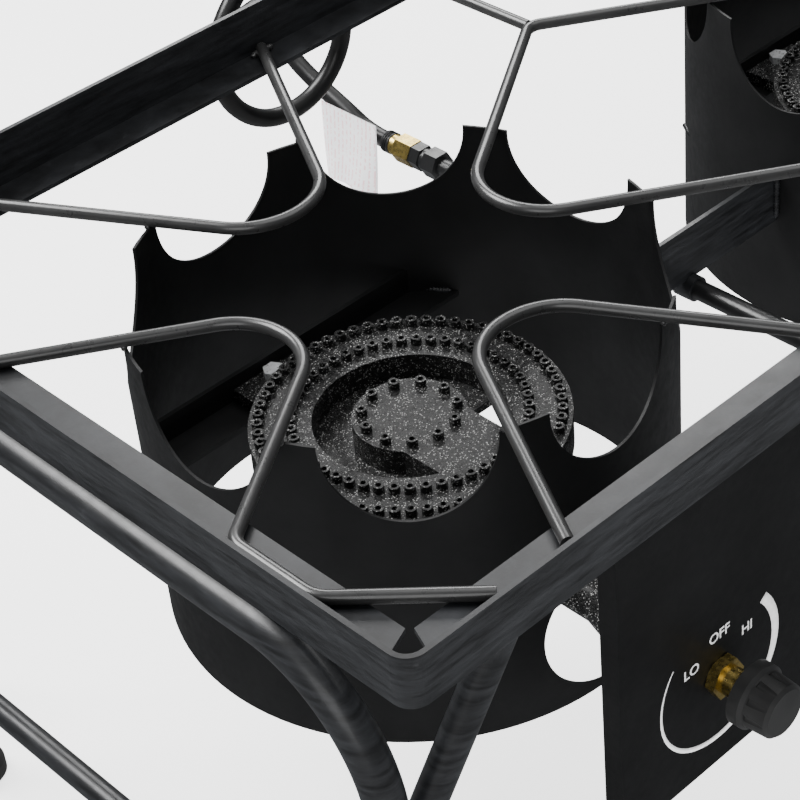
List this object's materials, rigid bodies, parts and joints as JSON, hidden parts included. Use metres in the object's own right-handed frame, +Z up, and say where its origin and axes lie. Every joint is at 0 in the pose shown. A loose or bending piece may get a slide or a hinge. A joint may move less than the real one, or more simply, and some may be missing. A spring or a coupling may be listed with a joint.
{
  "type": "turkey fryer kit",
  "caption": "Outdoor gas cooker stand for turkey-fryer pots: ring burners in wind guards under bent pot rods, tube legs, control panels, hose and regulator.",
  "frame": {"origin": "middle of the stand's footprint, on the floor", "axes": "+X along the front to the right as seen from the front, +Y to the back, +Z up"},
  "size_m": [1.0345, 0.8404, 0.4247],
  "materials": {
    "black_paint": "satin black powder coat over welded steel",
    "rod_paint": "smooth semi-gloss black coat on round bar",
    "guard_paint": "flat high-heat black paint",
    "panel_paint": "satin black paint with a white printed dial",
    "burner_iron": "rough sand-cast iron with a glossy black dip",
    "zinc_steel": "bright zinc plate",
    "valve_brass": "machined brass",
    "knob_plastic": "moulded black plastic",
    "black_pipe": "dark steel pipe and fittings",
    "hose_rubber": "smooth black rubber hose",
    "foot_rubber": "matt black rubber",
    "regulator_metal": "die-cast, painted grey",
    "nut_plastic": "moulded black plastic hand nut",
    "tag_paper": "thin white printed paper"
  },
  "bodies": {
    "root": {"back_rail": "black_paint", "brace_back_left": "black_paint", "brace_back_right": "black_paint", "brace_front_left": "black_paint", "brace_front_right": "black_paint", "burner_bar_left": "guard_paint", "burner_bar_right": "guard_paint", "burner_bolt_left": "zinc_steel", "burner_bolt_right": "zinc_steel", "burner_left": "burner_iron", "burner_right": "burner_iron", "control_panel_left": "panel_paint", "control_panel_right": "panel_paint", "foot_caps": "foot_rubber", "frame_band": "black_paint", "front_ledge": "black_paint", "gas_rail": "black_pipe", "gas_tee": "black_pipe", "guard_tie_bar": "black_paint", "hose": "hose_rubber", "hose_clips": "black_paint", "hose_coil": "hose_rubber", "hose_ferrule": "black_pipe", "hose_hook": "black_paint", "hose_nut": "valve_brass", "hose_tag": "tag_paper", "hose_tail": "hose_rubber", "inlet_adapter": "black_pipe", "inlet_pipe": "black_pipe", "left_ledge": "black_paint", "leg_loop_left": "black_paint", "leg_loop_right": "black_paint", "middle_tie_rods": "rod_paint", "orifice_left": "valve_brass", "orifice_right": "valve_brass", "pot_rod_back_left": "rod_paint", "pot_rod_back_right": "rod_paint", "pot_rod_front_left": "rod_paint", "pot_rod_front_right": "rod_paint", "pot_rod_left": "rod_paint", "pot_rod_middle": "rod_paint", "pot_rod_right": "rod_paint", "regulator": "regulator_metal", "right_ledge": "black_paint", "side_rung_left": "black_paint", "side_rung_right": "black_paint", "valve_body_left": "valve_brass", "valve_body_right": "valve_brass", "wind_guard_left": "guard_paint", "wind_guard_right": "guard_paint"},
    "stem_left": {"valve_stem_left": "zinc_steel"},
    "knob_left": {"knob_left": "knob_plastic"},
    "shutter_left": {"air_shutter_left": "zinc_steel"},
    "stem_right": {"valve_stem_right": "zinc_steel"},
    "knob_right": {"knob_right": "knob_plastic"},
    "shutter_right": {"air_shutter_right": "zinc_steel"},
    "tank_nut": {"tank_nut": "nut_plastic"}
  },
  "joints": [
    {"name": "push_left", "type": "slide", "parent": "root", "child": "stem_left", "axis": [0, 1, 0], "range_m": [0, 0.003], "stiffness_N_per_m": 300},
    {"name": "turn_left", "type": "hinge", "parent": "stem_left", "child": "knob_left", "pos_m": [-0.24, -0.28375, 0.234], "axis": [0, -1, 0], "range_deg": [0, 270]},
    {"name": "shutter_left_turn", "type": "hinge", "parent": "root", "child": "shutter_left", "pos_m": [-0.24, -0.19315, 0.234], "axis": [0, 1, 0], "range_deg": [-40, 40]},
    {"name": "push_right", "type": "slide", "parent": "root", "child": "stem_right", "axis": [0, 1, 0], "range_m": [0, 0.003], "stiffness_N_per_m": 300},
    {"name": "turn_right", "type": "hinge", "parent": "stem_right", "child": "knob_right", "pos_m": [0.24, -0.28375, 0.234], "axis": [0, -1, 0], "range_deg": [0, 270]},
    {"name": "shutter_right_turn", "type": "hinge", "parent": "root", "child": "shutter_right", "pos_m": [0.24, -0.19315, 0.234], "axis": [0, 1, 0], "range_deg": [-40, 40]},
    {"name": "tank_nut_spin", "type": "hinge", "parent": "root", "child": "tank_nut", "pos_m": [-0.41035, 0.52425, 0.019], "axis": [0, 1, 0], "continuous": true}
  ]
}
